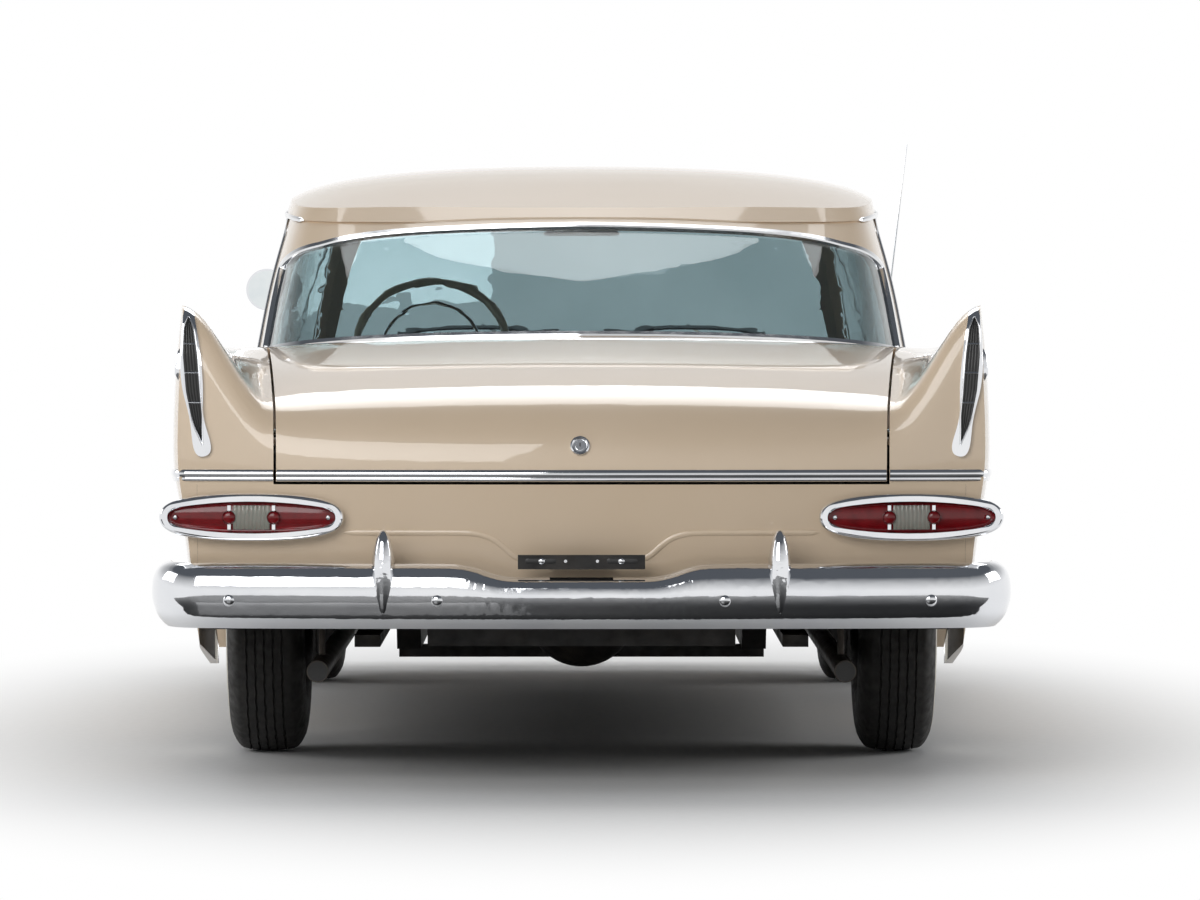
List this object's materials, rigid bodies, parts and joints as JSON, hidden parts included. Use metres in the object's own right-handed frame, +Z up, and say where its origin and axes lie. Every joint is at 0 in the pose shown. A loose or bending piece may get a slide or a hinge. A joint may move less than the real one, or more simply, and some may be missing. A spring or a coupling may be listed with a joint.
{
  "type": "two-door hardtop car",
  "caption": "Full-size late-1950s two-door hardtop with tail fins, wrap-round glass, chrome bumpers and slot-shaped tail lamps; doors, bonnet, boot lid, steering and wheels move.",
  "frame": {"origin": "on the ground, under the middle of the car's length and width", "axes": "+X to the front bumper, +Y to the car's left, +Z up"},
  "size_m": [5.29, 1.9804, 1.5253],
  "materials": {
    "body_paint": "gloss",
    "chrome_trim": "polished",
    "tinted_glass": "tinted",
    "chassis_black": "satin",
    "tyre_rubber": "matt",
    "wheel_steel": "gloss, with a plated cap",
    "lamp_lens": "moulded, translucent",
    "headlamp_glass": "fluted",
    "engine_iron": "as cast",
    "exhaust_steel": "dull",
    "seat_cloth": "woven",
    "dash_paint": "satin",
    "wheel_plastic": "gloss",
    "shelf_board": "woven"
  },
  "bodies": {
    "car_body": {"front_bumper": "chrome_trim", "rear_bumper": "chrome_trim", "tail_lamp_bezels": "chrome_trim", "fin_ornaments": "chrome_trim", "headlamp_bezels": "chrome_trim", "grille": "chrome_trim", "antenna": "chrome_trim", "roof_panel": "body_paint", "front_fenders": "body_paint", "cowl_panel": "body_paint", "nose_panel": "body_paint", "tail_panel": "body_paint", "deck_strip": "body_paint", "quarter_panels": "body_paint", "rocker_panels": "body_paint", "quarter_windows": "tinted_glass", "windshield": "tinted_glass", "rear_window": "tinted_glass", "chassis_frame": "chassis_black", "floor_pan": "chassis_black", "wheelhouses": "chassis_black", "inner_fenders": "chassis_black", "front_suspension": "chassis_black", "plate_bracket": "chassis_black", "fuel_tank": "chassis_black", "tail_lamp_lenses": "lamp_lens", "headlamps": "headlamp_glass", "engine": "engine_iron", "rear_axle": "engine_iron", "exhaust_pipes": "exhaust_steel", "front_seat": "seat_cloth", "rear_seat": "seat_cloth", "dashboard": "dash_paint", "rear_shelf": "shelf_board"},
    "hood": {"hood": "body_paint"},
    "deck_lid": {"deck_lid": "body_paint"},
    "door_left": {"door_left": "body_paint", "door_glass_left": "tinted_glass", "door_mirror": "chrome_trim"},
    "door_right": {"door_right": "body_paint", "door_glass_right": "tinted_glass"},
    "steering_wheel": {"steering_wheel": "wheel_plastic"},
    "knuckle_left": {"knuckle_left": "chassis_black"},
    "knuckle_right": {"knuckle_right": "chassis_black"},
    "wheel_front_left": {"wheel_front_left": "wheel_steel", "tyre_front_left": "tyre_rubber"},
    "wheel_front_right": {"wheel_front_right": "wheel_steel", "tyre_front_right": "tyre_rubber"},
    "wheel_rear_left": {"wheel_rear_left": "wheel_steel", "tyre_rear_left": "tyre_rubber"},
    "wheel_rear_right": {"wheel_rear_right": "wheel_steel", "tyre_rear_right": "tyre_rubber"}
  },
  "joints": [
    {"name": "steer_left", "type": "hinge", "parent": "car_body", "child": "knuckle_left", "pos_m": [1.755, 0.7235, 0.338], "axis": [0, 0, 1], "range_deg": [-28, 28]},
    {"name": "steer_right", "type": "hinge", "parent": "car_body", "child": "knuckle_right", "pos_m": [1.755, -0.7235, 0.338], "axis": [0, 0, 1], "range_deg": [-28, 28]},
    {"name": "steering_turn", "type": "hinge", "parent": "car_body", "child": "steering_wheel", "pos_m": [0.33, 0.4, 0.968], "axis": [-0.848, 0, 0.5299], "range_deg": [-504, 504]},
    {"name": "spin_front_left", "type": "hinge", "parent": "knuckle_left", "child": "wheel_front_left", "pos_m": [1.755, 0.7735, 0.338], "axis": [0, 1, 0], "continuous": true},
    {"name": "spin_front_right", "type": "hinge", "parent": "knuckle_right", "child": "wheel_front_right", "pos_m": [1.755, -0.7735, 0.338], "axis": [0, 1, 0], "continuous": true},
    {"name": "spin_rear_left", "type": "hinge", "parent": "car_body", "child": "wheel_rear_left", "pos_m": [-1.242, 0.757, 0.338], "axis": [0, 1, 0], "continuous": true},
    {"name": "spin_rear_right", "type": "hinge", "parent": "car_body", "child": "wheel_rear_right", "pos_m": [-1.242, -0.757, 0.338], "axis": [0, 1, 0], "continuous": true},
    {"name": "door_left_swing", "type": "hinge", "parent": "car_body", "child": "door_left", "pos_m": [0.675, 0.978, 0.6], "axis": [0, 0, -1], "range_deg": [0, 65]},
    {"name": "door_right_swing", "type": "hinge", "parent": "car_body", "child": "door_right", "pos_m": [0.675, -0.978, 0.6], "axis": [0, 0, 1], "range_deg": [0, 65]},
    {"name": "hood_lift", "type": "hinge", "parent": "car_body", "child": "hood", "pos_m": [1.072, 0, 0.99], "axis": [0, -1, 0], "range_deg": [0, 50]},
    {"name": "deck_lid_lift", "type": "hinge", "parent": "car_body", "child": "deck_lid", "pos_m": [-1.547, 0, 1.02], "axis": [0, 1, 0], "range_deg": [0, 60]}
  ],
  "couplings": [
    {"joint": "steer_right", "follows": "steer_left", "ratio": 1},
    {"joint": "steering_turn", "follows": "steer_left", "ratio": 17}
  ]
}
